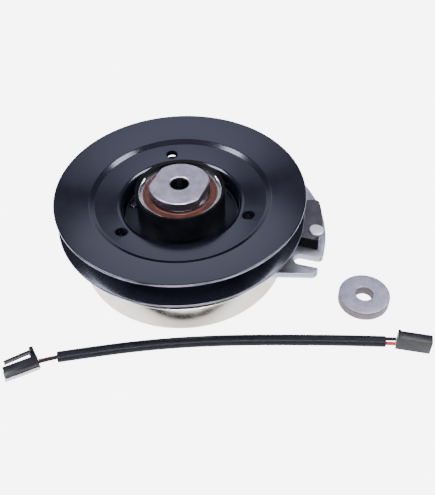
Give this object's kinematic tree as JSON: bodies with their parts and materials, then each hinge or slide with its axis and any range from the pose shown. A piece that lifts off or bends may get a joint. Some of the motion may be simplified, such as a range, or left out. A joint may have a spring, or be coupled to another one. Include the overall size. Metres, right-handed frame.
{
  "type": "electromagnetic clutch",
  "caption": "Electromagnetic shaft clutch with a black belt pulley, a plated coil shell with a slotted torque arm and brake, a loose washer and an adapter lead.",
  "frame": {"origin": "on the shaft's axis, in the plane of the hub's lower face that the clutch stands on", "axes": "+Z along the shaft towards the bolt face, +X towards the torque arm's side, -Y towards the slot and the lead"},
  "size_m": [0.2667, 0.1892, 0.0653],
  "materials": {
    "black_enamel": "gloss",
    "machined_steel": "satin",
    "zinc_plate": "satin",
    "bearing_steel": "polished",
    "spring_steel": "blued",
    "rotor_steel": "satin",
    "seal_rubber": "matte",
    "brake_black": "matte",
    "copper_wire": "enamelled",
    "bobbin_nylon": "matte",
    "potting_resin": "matte",
    "block_black": "satin",
    "connector_plastic": "matte",
    "retainer_grey": "satin",
    "terminal_brass": "plain",
    "washer_steel": "blasted",
    "sleeve_vinyl": "satin",
    "wire_black": "satin",
    "wire_red": "satin"
  },
  "bodies": {
    "field": {"field_shell": "zinc_plate", "coil_bobbin": "bobbin_nylon", "coil_winding": "copper_wire", "coil_potting": "potting_resin", "torque_plate": "zinc_plate", "torque_plate_weld": "zinc_plate", "brake_spacer": "block_black", "brake_shim": "spring_steel", "brake_plate": "brake_black", "brake_rivets": "machined_steel", "field_bearing_outer_race": "bearing_steel", "field_bearing_seals": "seal_rubber", "field_bearing_retaining_ring": "spring_steel", "coil_connector": "connector_plastic", "coil_terminals": "terminal_brass"},
    "hub": {"hub_sleeve": "machined_steel", "hub_spacer": "machined_steel", "hub_retaining_ring": "spring_steel", "rotor_disc": "rotor_steel", "field_bearing_inner_race": "bearing_steel", "pulley_bearing_inner_race": "bearing_steel"},
    "field_cage": {"field_bearing_balls": "bearing_steel", "field_bearing_cage": "spring_steel"},
    "pulley": {"pulley_upper_half": "black_enamel", "pulley_lower_half": "black_enamel", "bearing_housing": "black_enamel", "bearing_snap_ring": "bearing_steel", "pulley_bearing_outer_race": "bearing_steel", "pulley_bearing_seals": "seal_rubber", "leaf_springs": "spring_steel", "leaf_spring_rivets": "black_enamel"},
    "pulley_cage": {"pulley_bearing_balls": "bearing_steel", "pulley_bearing_cage": "spring_steel"},
    "armature": {"armature_plate": "rotor_steel", "armature_spacers": "machined_steel", "armature_rivets": "bearing_steel"},
    "washer": {"mounting_washer": "washer_steel"},
    "adapter_lead": {"lead_sleeve": "sleeve_vinyl", "latch_plug": "connector_plastic", "latch_plug_retainer": "retainer_grey", "latch_plug_terminals": "terminal_brass", "lead_wires_black": "wire_black", "lead_wires_red": "wire_red", "harness_connector": "connector_plastic"}
  },
  "joints": [
    {"name": "hub_spin", "type": "hinge", "parent": "field", "child": "hub", "pos_m": [0, 0, 0], "axis": [0, 0, 1], "continuous": true},
    {"name": "field_cage_spin", "type": "hinge", "parent": "field", "child": "field_cage", "pos_m": [0, 0, 0], "axis": [0, 0, 1], "continuous": true},
    {"name": "pulley_spin", "type": "hinge", "parent": "hub", "child": "pulley", "pos_m": [0, 0, 0], "axis": [0, 0, 1], "continuous": true},
    {"name": "pulley_cage_spin", "type": "hinge", "parent": "hub", "child": "pulley_cage", "pos_m": [0, 0, 0], "axis": [0, 0, 1], "continuous": true},
    {"name": "armature_travel", "type": "slide", "parent": "pulley", "child": "armature", "axis": [0, 0, -1], "range_m": [0, 0.00045], "stiffness_N_per_m": 20000, "springref_m": -0.0005, "deforming": ["leaf_springs"]},
    {"name": "washer_lift", "type": "slide", "parent": "field", "child": "washer", "axis": [0, 0, 1], "range_m": [0, 0.05]},
    {"name": "lead_pull", "type": "slide", "parent": "field", "child": "adapter_lead", "axis": [0, -1, 0], "range_m": [0, 0.05]}
  ],
  "couplings": [
    {"joint": "field_cage_spin", "follows": "hub_spin", "ratio": 0.42},
    {"joint": "pulley_cage_spin", "follows": "pulley_spin", "ratio": 0.57}
  ]
}
